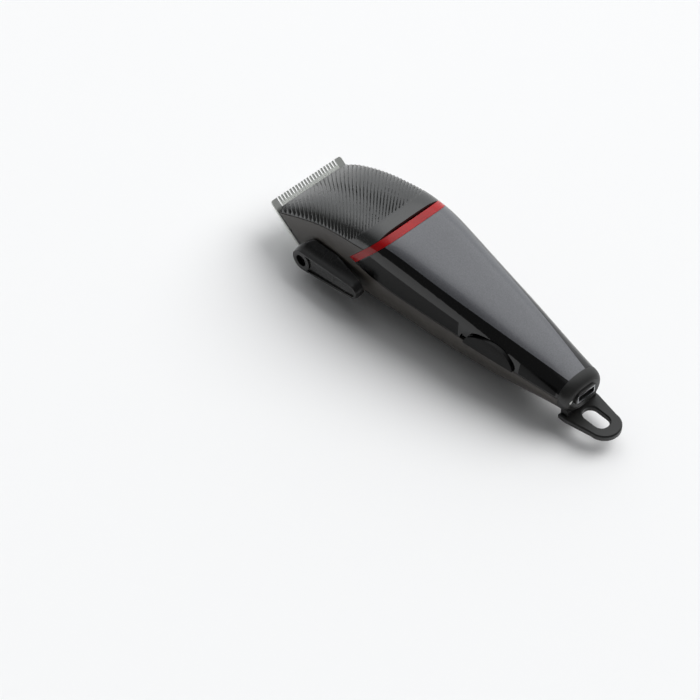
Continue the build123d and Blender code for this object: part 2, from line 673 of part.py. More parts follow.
def motor_magnets():
    """Two curved magnets against the wall of the can."""
    x0, x1 = MOTOR_X + 4, MOTOR_X + MOTOR_L - 7
    outer = MOTOR_D - 2 * MOTOR_CAN_T - 2 * FIT
    ring = rod_x(x0, x1, 0, MOTOR_Z, outer) - rod_x(x0 - 1, x1 + 1, 0, MOTOR_Z, outer - 2 * MAGNET_T)
    gap = block(x0 - 1, x1 + 1, -MOTOR_D, MOTOR_D, MOTOR_Z - 4, MOTOR_Z + 4)
    return (ring - gap).solids()


def motor_bushing():
    """Bronze bushing in the front of the can."""
    ring = rod_x(MOTOR_X - 1.5, MOTOR_X + 2.5, 0, MOTOR_Z, BUSHING_D)
    return ring - rod_x(0, BIG, 0, MOTOR_Z, MOTOR_SHAFT_D + 2 * RUN_FIT)


def motor_bracket():
    """Plate in front of the motor, screwed to the can and held between the shells."""
    x0, x1 = MOTOR_X - BRACKET_T - 0.1, MOTOR_X - 0.1
    plate = rod_x(x0, x1, 0, MOTOR_Z, MOTOR_D + 3) + block(x0, x1, -14, 14, MOTOR_Z - 5, MOTOR_Z + 5)
    plate = plate & form(WALL + FIT)
    plate -= rod_x(x0 - 1, x1 + 1, 0, MOTOR_Z, ECC_HUB_D + 2)
    for y in (-MOTOR_SCREW_Y, MOTOR_SCREW_Y):
        plate -= rod_x(x0 - 1, x1 + 1, y, MOTOR_Z, SCREW_D + 2 * FIT)
    return plate


def motor_screws():
    """Two screws that hold the can on the bracket."""
    screws = []
    x0 = MOTOR_X - BRACKET_T - 0.1
    for y in (-MOTOR_SCREW_Y, MOTOR_SCREW_Y):
        screws.append(rod_x(x0 - 1.3, x0, y, MOTOR_Z, SCREW_HEAD_D)
                      + rod_x(x0, MOTOR_X + MOTOR_CAN_T + 1, y, MOTOR_Z, SCREW_D))
    return screws


def motor_shaft():
    return rod_x(ECC_X + 0.8, MOTOR_X + MOTOR_L - 1.3, 0, MOTOR_Z, MOTOR_SHAFT_D)


def motor_armature():
    """Laminated armature, with a three-pole outline."""
    x0, x1 = MOTOR_X + 5, MOTOR_X + MOTOR_L - 8
    outer = MOTOR_D - 2 * MOTOR_CAN_T - 2 * FIT - 2 * MAGNET_T - 2 * ARMATURE_GAP
    core = rod_x(x0, x1, 0, MOTOR_Z, outer) - rod_x(x0 - 1, x1 + 1, 0, MOTOR_Z, MOTOR_SHAFT_D)
    for k in range(3):
        turn = math.radians(90 + 120 * k)
        y, z = outer / 2 * math.cos(turn), MOTOR_Z + outer / 2 * math.sin(turn)
        core -= rod_x(x0 - 1, x1 + 1, y, z, 3.0)
    return core


def motor_commutator():
    """Commutator on the shaft, behind the armature."""
    x0 = MOTOR_X + MOTOR_L - 8
    return rod_x(x0 + 0.2, x0 + 4, 0, MOTOR_Z, 6) - rod_x(x0, x0 + 5, 0, MOTOR_Z, MOTOR_SHAFT_D)


def eccentric_cam():
    """Hub pressed on the motor shaft, with the pin that drives the cutter."""
    x0 = ECC_X
    hub = rod_x(x0, x0 + ECC_HUB_T, 0, MOTOR_Z, ECC_HUB_D)
    pin = rod_x(x0 - FORK_T - 1.0, x0, 0, MOTOR_Z + ECC_E, ECC_PIN_D)
    return hub + pin - rod_x(x0 + 0.6, x0 + ECC_HUB_T + 1, 0, MOTOR_Z, MOTOR_SHAFT_D)


# ---------------------------------------------------------------- blade set
def tooth_gaps(s0, s1, width):
    """Plan of the gaps between the teeth: straight slots with a round root."""
    gaps = []
    for k in range(TOOTH_COUNT + 1):
        y = (k - TOOTH_COUNT / 2) * TOOTH_PITCH
        slot = Pos((s0 - 5 + s1 - width / 2) / 2, y) * Rectangle(s1 - width / 2 - s0 + 5, width)
        gaps.append(slot + Pos(s1 - width / 2, y) * Circle(width / 2))
    return gaps


def fixed_blade():
    """Toothed plate that lies on the skin, with a wide round tooth at each end."""
    plan = Pos(FIXED_LENGTH / 2, 0) * Rectangle(FIXED_LENGTH, BLADE_W)
    corners = plan.vertices()
    plan = fillet(corners.group_by(Axis.X)[0], END_TOOTH_R)
    plan = fillet(plan.vertices().group_by(Axis.X)[-1], 2.5)
    for gap in tooth_gaps(0, TOOTH_ROOT_S, TOOTH_GAP):
        plan -= gap
    plate = extrude(Pos(0, 0, -FIXED_T) * plan, amount=FIXED_T)
    wedge = Polyline((-1, -TIP_T), (0, -TIP_T), (BEVEL_LENGTH, -FIXED_T), (BEVEL_LENGTH, -9),
                     (-1, -9), (-1, -TIP_T))
    plate -= extrude(Plane.XZ * make_face(wedge), amount=BLADE_W, both=True)
    for y in (-BLADE_SCREW_Y, BLADE_SCREW_Y):
        plate -= rod_z(BLADE_SCREW_S, y, -FIXED_T - 1, 1, BLADE_SCREW_D + 2 * FIT)
        plate -= rod_z(BLADE_SCREW_S, y, -FIXED_T - 1, -FIXED_T + 0.8, BLADE_SCREW_HEAD_D + 2 * FIT)
    return BLADE * plate


def moving_blade():
    """Cutter plate that runs across on the fixed blade, its teeth set back."""
    length = CUTTER_REAR_S - CUTTER_SETBACK
    plan = Pos(CUTTER_SETBACK + length / 2, 0) * Rectangle(length, CUTTER_W)
    for gap in tooth_gaps(CUTTER_SETBACK, TOOTH_ROOT_S + 0.6, TOOTH_GAP):
        plan -= gap
    plan = fillet(plan.vertices().group_by(Axis.X)[-1], 1.5)
    plan -= Pos(CUTTER_REAR_S - 3.4, 0) * SlotOverall(3.2, 2.0)
    plate = extrude(Pos(0, 0, PLATE_GAP) * plan, amount=CUTTER_T)
    wedge = Polyline((0, PLATE_GAP + 0.6), (CUTTER_SETBACK, PLATE_GAP + 0.6),
                     (TOOTH_ROOT_S, PLATE_GAP + CUTTER_T), (TOOTH_ROOT_S, 9), (0, 9),
                     (0, PLATE_GAP + 0.6))
    return BLADE * (plate - extrude(Plane.XZ * make_face(wedge), amount=BLADE_W, both=True))


def cutter_follower():
    """Nylon arm on the cutter, with a fork round the eccentric pin."""
    w0 = PLATE_GAP + CUTTER_T
    base = blade_block(11.0, 19.0, -FORK_HALF_Y, FORK_HALF_Y, w0, 4.4)
    arm = block(13.5, 27.0, -FORK_HALF_Y, FORK_HALF_Y, 13.2, 16.0)
    x1 = ECC_X - 0.5
    fork = block(x1 - FORK_T, x1, -FORK_HALF_Y, FORK_HALF_Y, 13.2, MOTOR_Z + FORK_SLOT + 1.6)
    fork -= block(x1 - FORK_T - 1, x1 + 1, -FORK_SLOT_Y, FORK_SLOT_Y,
                  MOTOR_Z - FORK_SLOT, MOTOR_Z + FORK_SLOT)
    arm -= block(x1 - FORK_T - 1, x1 + 1, -FORK_SLOT_Y, FORK_SLOT_Y, MOTOR_Z - FORK_SLOT, BIG)
    return base + arm + fork


def blade_carrier():
    """Frame round the cutter that holds the fixed blade and slides on the seat."""
    half = BLADE_W / 2 - 0.1
    rear = FIXED_LENGTH - 0.3
    frame = block(CARRIER_FRONT_S, rear, -half, half, FIT, CARRIER_T)
    inside = half - CARRIER_ARM
    frame -= block(CARRIER_FRONT_S - 1, CARRIER_BAR_S, -inside, inside, -1, 9)
    frame = fillet(frame.edges().filter_by(Axis.Z).group_by(Axis.X)[-1], 2.3)
    for y in (-half, half):
        frame -= block(CARRIER_NOTCH_S, CARRIER_NOTCH_S + 0.8, y - 0.7, y + 0.7, -1, 9)
    frame += block(SLIDE_S0, SLIDE_S1, -SLIDE_HALF_Y, SLIDE_HALF_Y, CARRIER_T - 0.5,
                   SEAT_INNER_W - FIT)
    frame -= block(CARRIER_BAR_S - 1, CARRIER_BAR_S + 1.6, -SPRING_HALF_Y, SPRING_HALF_Y,
                   CARRIER_T - SPRING_T, 9)
    for y in (-BLADE_SCREW_Y, BLADE_SCREW_Y):
        frame -= rod_z(BLADE_SCREW_S, y, -1, BLADE_SCREW_TOP, BLADE_SCREW_D)
    for y in (-RETAINER_SCREW_Y, RETAINER_SCREW_Y):
        frame -= rod_z(BLADE_SCREW_S, y, 1.2, 9, SCREW_D)
    return BLADE * frame


def blade_screws():
    """Two flat screws from the skin side, through the fixed blade into the carrier."""
    screws = []
    for y in (-BLADE_SCREW_Y, BLADE_SCREW_Y):
        head = rod_z(BLADE_SCREW_S, y, -FIXED_T, -FIXED_T + 0.8, BLADE_SCREW_HEAD_D)
        body = head + rod_z(BLADE_SCREW_S, y, -FIXED_T, BLADE_SCREW_TOP - 0.1, BLADE_SCREW_D)
        slot = block(BLADE_SCREW_S - 4, BLADE_SCREW_S + 4, y - 0.35, y + 0.35, -9, -FIXED_T + 0.4)
        screws.append(BLADE * (body - slot))
    return screws


def slide_retainer():
    """Plate inside the seat that keeps the carrier down, with the crank's slotted lug."""
    w0 = SEAT_INNER_W + RUN_FIT
    w1 = w0 + RETAINER_T
    plate = block(SLIDE_S0 - RETAINER_OVER, SLIDE_S1 + RETAINER_OVER, RETAINER_Y0, RETAINER_Y1, w0, w1)
    lug = block(CRANK_S - 3.0, CRANK_S + 3.0, RETAINER_Y0, RETAINER_Y0 + 3.4, w0,
                CRANK_W + CRANK_PIN_D / 2 + 0.8)
    plate += lug
    half = CRANK_PIN_D / 2 + RUN_FIT
    plate -= block(CRANK_S - half, CRANK_S + half, RETAINER_Y0 - 1, RETAINER_Y0 + 4, 0, 20)
    for y in (-RETAINER_SCREW_Y, RETAINER_SCREW_Y):
        plate -= rod_z(BLADE_SCREW_S, y, 0, 20, SCREW_D + 2 * FIT)
    return BLADE * plate


def retainer_screws():
    """Two screws from inside, through the retainer into the carrier."""
    screws = []
    w1 = SEAT_INNER_W + RUN_FIT + RETAINER_T
    for y in (-RETAINER_SCREW_Y, RETAINER_SCREW_Y):
        head = rod_z(BLADE_SCREW_S, y, w1, w1 + 1.2, SCREW_HEAD_D)
        screws.append(BLADE * (head + rod_z(BLADE_SCREW_S, y, 1.3, w1, SCREW_D)))
    return screws


def pressure_spring():
    """Leaf spring on the carrier whose fingers press the cutter on the fixed blade."""
    w0 = CARRIER_T - SPRING_T
    w_tip = PLATE_GAP + CUTTER_T + 0.03
    leaf = block(CARRIER_BAR_S, CARRIER_BAR_S + 1.5, -SPRING_HALF_Y + 0.1, SPRING_HALF_Y - 0.1,
                 w0, CARRIER_T)
    profile = Polyline((CARRIER_BAR_S + 0.2, w0), (CARRIER_BAR_S + 0.2, CARRIER_T),
                       (CARRIER_BAR_S - 0.4, CARRIER_T), (18.2, w_tip + SPRING_T), (17.4, w_tip + SPRING_T),
                       (17.4, w_tip), (18.1, w_tip), (CARRIER_BAR_S - 0.3, w0),
                       (CARRIER_BAR_S + 0.2, w0))
    finger = extrude(Plane.XZ * make_face(profile), amount=2.5, both=True)
    for y in (-SPRING_FINGER_Y, SPRING_FINGER_Y):
        leaf += Pos(0, y, 0) * finger
    return BLADE * leaf


# ---------------------------------------------------------------- taper lever
def lever_outline(y, hub_x, hub_z, hub_r, tip_r, reach=LEVER_REACH):
    """Outline of the lever at one depth: hub circle, tip circle and their tangents."""
    turn = math.radians(LEVER_ANGLE)
    lean = math.asin((hub_r - tip_r) / reach)
    tip_x = hub_x + reach * math.cos(turn)
    tip_z = hub_z + reach * math.sin(turn)

    def on(x, z, r, angle):
        return (x + r * math.cos(angle), z + r * math.sin(angle))

    up, down = turn + math.pi / 2 - lean, turn - math.pi / 2 + lean
    a, b = on(hub_x, hub_z, hub_r, up), on(tip_x, tip_z, tip_r, up)
    c, d = on(tip_x, tip_z, tip_r, down), on(hub_x, hub_z, hub_r, down)
    edges = [Line(a, b), ThreePointArc(b, on(tip_x, tip_z, tip_r, turn), c), Line(c, d),
             ThreePointArc(d, on(hub_x, hub_z, hub_r, turn + math.pi), a)]
    frame = Plane(origin=(0, y, 0), x_dir=(1, 0, 0), z_dir=(0, -1, 0))
    return frame * make_face(Curve() + edges)


def taper_lever():
    """Thumb lever: a high root against the body and a slim arm that stands clear of it."""
    middle = LEVER_OUT_Y + 1.6
    root = lever_outline(LEVER_IN_Y, LEVER_X + LEVER_ROOT_BACK, LEVER_Z + LEVER_ROOT_RISE,
                         LEVER_ROOT_R, LEVER_TIP_R + 0.8, LEVER_ROOT_REACH)
    shoulder = lever_outline(LEVER_ARM_Y, LEVER_X + 0.5, LEVER_Z + 1.2, LEVER_HUB_R + 0.3,
                             LEVER_TIP_R + 0.2)
    waist = lever_outline(middle, LEVER_X, LEVER_Z, LEVER_HUB_R + 0.2, LEVER_TIP_R + 0.2)
    face = lever_outline(LEVER_OUT_Y, LEVER_X, LEVER_Z, LEVER_HUB_R - 0.3, LEVER_TIP_R - 0.3)
    body = loft([root, shoulder], ruled=True) + loft([shoulder, waist], ruled=True)
    body += loft([waist, face], ruled=True)
    body += rod_y(LEVER_X, LEVER_Z, middle, LEVER_IN_Y, 2 * LEVER_HUB_R)
    pocket = lever_outline(LEVER_OUT_Y + LEVER_POCKET, LEVER_X, LEVER_Z, LEVER_HUB_R - LEVER_RIM,
                           LEVER_TIP_R - LEVER_RIM)
    body -= extrude(pocket, amount=5)
    body += rod_y(LEVER_X, LEVER_Z, LEVER_OUT_Y, middle, 2 * LEVER_HUB_R - 0.6)
    body -= rod_y(LEVER_X, LEVER_Z, LEVER_OUT_Y - 1, LEVER_OUT_Y + 3.2, LEVER_SCREW_HEAD_D + 0.4)
    return body - rod_y(LEVER_X, LEVER_Z, LEVER_OUT_Y + 3.1, 0, LEVER_SHAFT_D + 2 * FIT)


def lever_cam():
    """Shaft of the lever with the crank disc and pin that move the carrier."""
    shaft = rod_y(LEVER_X, LEVER_Z, LEVER_OUT_Y + 3.4, CRANK_DISC_Y - CRANK_DISC_T, LEVER_SHAFT_D)
    shaft -= rod_y(LEVER_X, LEVER_Z, -BIG, CRANK_DISC_Y - CRANK_DISC_T - 2, SCREW_D)
    disc = rod_y(LEVER_X, LEVER_Z, CRANK_DISC_Y - CRANK_DISC_T, CRANK_DISC_Y, CRANK_DISC_D)
    x = CRANK_S * COS + CRANK_W * SIN
    z = BLADE_TIP_Z - CRANK_S * SIN + CRANK_W * COS
    return shaft + disc + rod_y(x, z, CRANK_DISC_Y, RETAINER_Y0 + 3.4, CRANK_PIN_D)


def lever_screw():
    """Screw in the lever's hub that draws it on to the shaft."""
    y0 = LEVER_OUT_Y + 1.7
    head = rod_y(LEVER_X, LEVER_Z, y0, LEVER_OUT_Y + 3.2, LEVER_SCREW_HEAD_D)
    shank = rod_y(LEVER_X, LEVER_Z, y0, LEVER_OUT_Y + 9, SCREW_D)
    cross = block(LEVER_X - 1.5, LEVER_X + 1.5, -BIG, y0 + 0.8, LEVER_Z - 0.35, LEVER_Z + 0.35)
    cross += block(LEVER_X - 0.35, LEVER_X + 0.35, -BIG, y0 + 0.8, LEVER_Z - 1.5, LEVER_Z + 1.5)
    return head + shank - cross


def lever_washer():
    """Friction washer between the lever and its boss on the shell."""
    y0, y1 = LEVER_IN_Y + 0.03, LEVER_IN_Y + RUN_GAP - 0.03
    ring = rod_y(LEVER_X, LEVER_Z, y0, y1, LEVER_BOSS_D - 1)
    return ring - rod_y(LEVER_X, LEVER_Z, y0 - 1, y1 + 1, LEVER_SHAFT_D + 2 * RUN_FIT)


# ---------------------------------------------------------------- switch
def switch_pocket():
    """Room in the skin for the switch over its whole travel, on the -Y side."""
    return switch_outline(RUN_GAP, SWITCH_TRAVEL)


def switch_button():
    """Domed slide button with its thumb ridges and the stem through the shell."""
    skin = form(-SWITCH_PROUD) - form(SWITCH_SINK)
    dome = skin & switch_outline(0, 0) & block(-BIG, BIG, -BIG, 0, -BIG, BIG)
    half = SWITCH_STEM / 2
    stem = block(SWITCH_X - half, SWITCH_X + half, -SWITCH_STEM_OUT, -SWITCH_BODY_Y - 0.2,
                 SWITCH_STEM_Z - half, SWITCH_STEM_Z + half)
    return dome + stem


def switch_knob():
    """Knob of the slide switch, inside its slot."""
    half = 1.2
    return block(SWITCH_X - half, SWITCH_X + half, -SWITCH_BODY_Y - 0.1, -SWITCH_BODY_Y + 3.0,
                 SWITCH_STEM_Z - half, SWITCH_STEM_Z + half)


# ---------------------------------------------------------------- pieces and files
def pieces():
    """Every piece by its name, each a solid or a group of separate solids."""
    found = {
        "lower_shell": lower_shell(),
        "upper_shell": upper_shell(),
        "head_cover": head_cover(),
        "trim_ring": trim_ring(),
        "top_panel": top_panel(),
        "left_side_strip_front": strip(strip_front_zone(0), -1),
        "left_side_strip_rear": strip(strip_rear_zone(0), -1),
        "right_side_strip_front": strip(strip_front_zone(0), 1),
        "right_side_strip_rear": strip(strip_rear_zone(0), 1),
        "end_cap": end_cap(),
        "charging_socket": charging_socket(),
        "socket_tongue": socket_tongue(),
        "charge_led": charge_led(),
        "case_screws": case_screws(),
        "battery_cell": battery_cell(),
        "battery_tabs": battery_tabs(),
        "battery_foam": battery_foam(),
        "battery_leads": battery_leads(),
        "circuit_board": circuit_board(),
        "board_screws": board_screws(),
        "switch_housing": switch_housing(),
        "motor_leads": motor_leads(),
        "motor_can": motor_can(),
        "motor_end_bell": motor_end_bell(),
        "motor_magnets": motor_magnets(),
        "motor_bushing": motor_bushing(),
        "motor_bracket": motor_bracket(),
        "motor_screws": motor_screws(),
        "motor_shaft": motor_shaft(),
        "motor_armature": motor_armature(),
        "motor_commutator": motor_commutator(),
        "eccentric_cam": eccentric_cam(),
        "fixed_blade": fixed_blade(),
        "moving_blade": moving_blade(),
        "cutter_follower": cutter_follower(),
        "blade_carrier": blade_carrier(),
        "blade_screws": blade_screws(),
        "slide_retainer": slide_retainer(),
        "retainer_screws": retainer_screws(),
        "pressure_spring": pressure_spring(),
        "taper_lever": taper_lever(),
        "lever_cam": lever_cam(),
        "lever_screw": lever_screw(),
        "lever_washer": lever_washer(),
        "switch_button": switch_button(),
        "switch_knob": switch_knob(),
    }
    return found


def place(piece):
    """A piece's solids in the object's own frame, as one shape."""
    solids = piece if isinstance(piece, list) else piece.solids()
    moved = [Pos(-REST_X, 0, 0) * solid for item in solids for solid in item.solids()]
    return moved[0] if len(moved) == 1 else Compound(children=moved)


os.makedirs("parts", exist_ok=True)
for name, piece in pieces().items():
    export_step(place(piece), f"parts/{name}.step")
    print(f"{name}: written")
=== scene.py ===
# %% [markdown]
# # A cordless hair clipper
# The clipper lies on its belly with its blade to the left. Its frame, every size and every
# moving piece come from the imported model. Here it gets what the eye sees: the fine ribs of
# the head, soft moulded edges, the thumb lever, and the finish of each material.
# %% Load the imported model
import json
import math

import bmesh
import bpy
import numpy as np
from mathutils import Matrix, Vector
from mathutils.bvhtree import BVHTree

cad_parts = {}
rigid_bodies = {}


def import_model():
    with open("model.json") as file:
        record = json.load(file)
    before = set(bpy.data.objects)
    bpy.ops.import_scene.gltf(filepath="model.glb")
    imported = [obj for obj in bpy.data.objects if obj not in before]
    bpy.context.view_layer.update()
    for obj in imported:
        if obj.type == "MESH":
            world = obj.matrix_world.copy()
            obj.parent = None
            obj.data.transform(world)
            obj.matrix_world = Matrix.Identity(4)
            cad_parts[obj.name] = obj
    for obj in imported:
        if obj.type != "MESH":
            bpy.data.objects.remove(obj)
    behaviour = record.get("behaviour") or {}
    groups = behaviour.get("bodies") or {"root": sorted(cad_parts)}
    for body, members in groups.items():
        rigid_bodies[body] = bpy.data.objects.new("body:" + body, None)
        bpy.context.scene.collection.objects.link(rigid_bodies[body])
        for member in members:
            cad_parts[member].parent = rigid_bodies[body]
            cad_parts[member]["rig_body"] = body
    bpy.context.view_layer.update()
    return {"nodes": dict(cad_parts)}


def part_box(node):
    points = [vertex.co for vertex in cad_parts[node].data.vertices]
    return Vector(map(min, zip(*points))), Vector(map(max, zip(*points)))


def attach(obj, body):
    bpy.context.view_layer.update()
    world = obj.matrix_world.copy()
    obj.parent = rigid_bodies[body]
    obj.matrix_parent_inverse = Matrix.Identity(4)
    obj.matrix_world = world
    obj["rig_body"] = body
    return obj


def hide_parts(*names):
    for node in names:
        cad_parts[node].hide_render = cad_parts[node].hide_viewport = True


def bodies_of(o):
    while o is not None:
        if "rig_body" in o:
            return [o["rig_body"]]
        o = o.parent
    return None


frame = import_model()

MM = 0.001

# %% [markdown]
# ## Small helpers
# Colours are written as sRGB hex values, as a paint chart gives them. A shader works in
# linear light, so one function turns them over. A second small function adds a node with
# its settings and links, so that each finish below reads as a short recipe.
# %% Colour and node helpers
def linear(hex_code):
    """sRGB hex colour to the linear RGBA of a shader socket."""
    parts = [int(hex_code[i:i + 2], 16) / 255 for i in (0, 2, 4)]
    return [p / 12.92 if p <= 0.04045 else ((p + 0.055) / 1.055) ** 2.4 for p in parts] + [1]


def add(material, kind, inputs=None, **settings):
    """One node. An input given as (node, output) is linked, any other is set."""
    tree = material.node_tree
    made = tree.nodes.new(kind)
    for name, value in settings.items():
        setattr(made, name, value)
    for name, value in (inputs or {}).items():
        if isinstance(value, tuple) and isinstance(value[0], bpy.types.Node):
            tree.links.new(value[0].outputs[value[1]], made.inputs[name])
        else:
            made.inputs[name].default_value = value
    return made


def empty_material(name):
    """A node material with nothing in it, and the piece's own coordinates."""
    material = bpy.data.materials.new(name)
    material.use_nodes = True
    material.node_tree.nodes.clear()
    return material, add(material, "ShaderNodeTexCoord")


# %% [markdown]
# ## Moulded plastic
# The shells, the cover, the strips and the cap are injection moulded ABS. The lever and the
# blade carrier are glass filled nylon, which looks much the same. The mould is spark
# eroded, which leaves a grain of about 0.3 mm: it breaks up the light and makes the surface
# satin. Real pieces also vary a little in gloss from place to place, where fingers have been.
# One recipe makes them all, with a colour, a roughness and a grain depth each.
# %% Recipe for moulded ABS
ABS_IOR = 1.53
CLOUD_MM = 14.0                      # size of the cloudy patches of gloss
GLOSS_SPREAD = 0.12                  # how far the roughness strays, as a share


def moulded_abs(name, colour, lighter, roughness, grain_mm=0.3, depth_mm=0.012, coat=0.0,
                specular=0.5):
    """Moulded ABS: a fine grain, cloudy gloss and a faint cloudy colour."""
    material, place = empty_material(name)
    cloud = add(material, "ShaderNodeTexNoise", {"Vector": (place, "Object"),
                                                 "Scale": 1 / (CLOUD_MM * MM), "Detail": 3.0})
    tint = add(material, "ShaderNodeValToRGB", {"Fac": (cloud, "Fac")})
    tint.color_ramp.elements[0].color = linear(colour)
    tint.color_ramp.elements[0].position = 0.3
    tint.color_ramp.elements[1].color = linear(lighter)
    tint.color_ramp.elements[1].position = 0.75
    gloss = add(material, "ShaderNodeMapRange",
                {"Value": (cloud, "Fac"), "From Min": 0.3, "From Max": 0.7,
                 "To Min": roughness * (1 - GLOSS_SPREAD),
                 "To Max": min(1.0, roughness * (1 + GLOSS_SPREAD))})
    grain = add(material, "ShaderNodeTexNoise", {"Vector": (place, "Object"),
                                                 "Scale": 1 / (grain_mm * MM), "Detail": 2.0})
    bump = add(material, "ShaderNodeBump", {"Height": (grain, "Fac"), "Strength": 1.0,
                                            "Distance": depth_mm * MM})
    shader = add(material, "ShaderNodeBsdfPrincipled",
                 {"Base Color": (tint, "Color"), "Roughness": (gloss, "Result"), "IOR": ABS_IOR,
                  "Specular IOR Level": specular, "Coat Weight": coat, "Coat Roughness": 0.03,
                  "Normal": (bump, "Normal")})
    add(material, "ShaderNodeOutputMaterial", {"Surface": (shader, "BSDF")})
    return material


shell_abs = moulded_abs("satin_abs_brown_grey", "3d3935", "47433e", 0.42)
cover_abs = moulded_abs("satin_abs_dark_grey", "242524", "2d2e2d", 0.21, depth_mm=0.004,
                        specular=0.75)
gloss_abs = moulded_abs("polished_abs_black", "040404", "080808", 0.07, grain_mm=6.0,
                        depth_mm=0.004, coat=0.2, specular=0.4)
strip_abs = moulded_abs("satin_abs_black", "040404", "070707", 0.20, depth_mm=0.004, specular=0.14)
cap_abs = moulded_abs("grained_abs_black", "181817", "20201f", 0.45, grain_mm=0.4, depth_mm=0.02)
lever_nylon = moulded_abs("glass_filled_nylon_black", "0b0b0a", "131211", 0.28, grain_mm=0.4,
                          depth_mm=0.01)
print("moulded finishes:", [m.name for m in (shell_abs, cover_abs, gloss_abs, strip_abs, cap_abs,
                                              lever_nylon)])

# %% [markdown]
# ## Painted panel and clear red ring
# The top panel is sprayed with a grey lacquer full of aluminium flakes and then clear coated.
# The flakes are about 0.05 mm; they are drawn at FLAKE_MM so that they show as a soft
# sparkle. The ring is tinted acrylic: it is deep red with a very smooth skin, and light gets
# into it, so a little of it glows through.
# %% Lacquer and acrylic
FLAKE_MM = 0.25
GLOW_DEPTH_MM = 1.5                  # how far light gets into the ring


def flake_lacquer(name, dark, light):
    """Grey lacquer with aluminium flakes under a clear coat."""
    material, place = empty_material(name)
    flakes = add(material, "ShaderNodeTexVoronoi", {"Vector": (place, "Object"),
                                                    "Scale": 1 / (FLAKE_MM * MM)})
    sparkle = add(material, "ShaderNodeSeparateColor", {"Color": (flakes, "Color")})
    tint = add(material, "ShaderNodeValToRGB", {"Fac": (sparkle, "Red")})
    tint.color_ramp.elements[0].color = linear(dark)
    tint.color_ramp.elements[1].color = linear(light)
    gloss = add(material, "ShaderNodeMapRange", {"Value": (sparkle, "Green"), "To Min": 0.30,
                                                 "To Max": 0.40})
    shader = add(material, "ShaderNodeBsdfPrincipled",
                 {"Base Color": (tint, "Color"), "Metallic": 0.30, "Roughness": (gloss, "Result"),
                  "IOR": 1.5, "Coat Weight": 0.7, "Coat Roughness": 0.03})
    add(material, "ShaderNodeOutputMaterial", {"Surface": (shader, "BSDF")})
    return material


def tinted_acrylic(name, dark, light):
    """Deep red acrylic with a smooth skin and light inside it."""
    material, place = empty_material(name)
    cloud = add(material, "ShaderNodeTexNoise", {"Vector": (place, "Object"), "Scale": 1 / (9 * MM)})
    tint = add(material, "ShaderNodeValToRGB", {"Fac": (cloud, "Fac")})
    tint.color_ramp.elements[0].color = linear(dark)
    tint.color_ramp.elements[1].color = linear(light)
    gloss = add(material, "ShaderNodeMapRange", {"Value": (cloud, "Fac"), "To Min": 0.10,
                                                 "To Max": 0.18})
    shader = add(material, "ShaderNodeBsdfPrincipled",
                 {"Base Color": (tint, "Color"), "Roughness": (gloss, "Result"), "IOR": 1.49,
                  "Subsurface Weight": 0.25, "Subsurface Scale": GLOW_DEPTH_MM * MM,
                  "Specular IOR Level": 0.4})
    add(material, "ShaderNodeOutputMaterial", {"Surface": (shader, "BSDF")})
    return material


panel_lacquer = flake_lacquer("flake_lacquer_grey", "505155", "5e5f63")
ring_acrylic = tinted_acrylic("tinted_acrylic_red", "8c0408", "ac080e")

# %% [markdown]
# ## Metals
# The blades are ground flat on a wheel, which leaves straight fine lines across the teeth.
# The lines are about 0.05 mm apart; they are drawn at 0.2 mm. Turned and rolled metal has the
# same lines in another direction. A metal keeps the default IOR.
# %% Recipe for ground metal
def ground_metal(name, colour, lighter, roughness, stretch=(1.0, 0.06, 1.0), turn=0.0,
                 line_mm=0.2, metallic=1.0):
    """Metal with fine parallel lines: noise that is stretched along one direction."""
    material, place = empty_material(name)
    along = add(material, "ShaderNodeMapping", {"Vector": (place, "Object"),
                                                "Rotation": (0.0, turn, 0.0), "Scale": stretch})
    lines = add(material, "ShaderNodeTexNoise", {"Vector": (along, "Vector"),
                                                 "Scale": 1 / (line_mm * MM), "Detail": 2.0})
    tint = add(material, "ShaderNodeValToRGB", {"Fac": (lines, "Fac")})
    tint.color_ramp.elements[0].color = linear(colour)
    tint.color_ramp.elements[1].color = linear(lighter)
    gloss = add(material, "ShaderNodeMapRange", {"Value": (lines, "Fac"), "To Min": roughness * 0.8,
                                                 "To Max": roughness * 1.2})
    bump = add(material, "ShaderNodeBump", {"Height": (lines, "Fac"), "Strength": 0.5,
                                            "Distance": 0.004 * MM})
    shader = add(material, "ShaderNodeBsdfPrincipled",
                 {"Base Color": (tint, "Color"), "Metallic": metallic,
                  "Roughness": (gloss, "Result"), "Normal": (bump, "Normal")})
    add(material, "ShaderNodeOutputMaterial", {"Surface": (shader, "BSDF")})
    return material


BLADE_TURN = math.radians(36.5)
blade_steel = ground_metal("ground_carbon_steel", "b9bbb6", "d2d4cf", 0.36, turn=BLADE_TURN)
bright_steel = ground_metal("zinc_plated_steel", "a9abad", "c4c6c8", 0.30, stretch=(1, 1, 0.1))
black_oxide = ground_metal("black_oxide_steel", "1b1b1c", "2b2b2c", 0.38)
bronze = ground_metal("sintered_bronze", "8a6232", "a87a44", 0.42)
magnet = ground_metal("sintered_ferrite", "2b2b2d", "3a3a3c", 0.60, stretch=(1, 1, 1), metallic=0.3)
copper = ground_metal("copper_segments", "a4593a", "c07850", 0.32, stretch=(0.1, 1, 1))

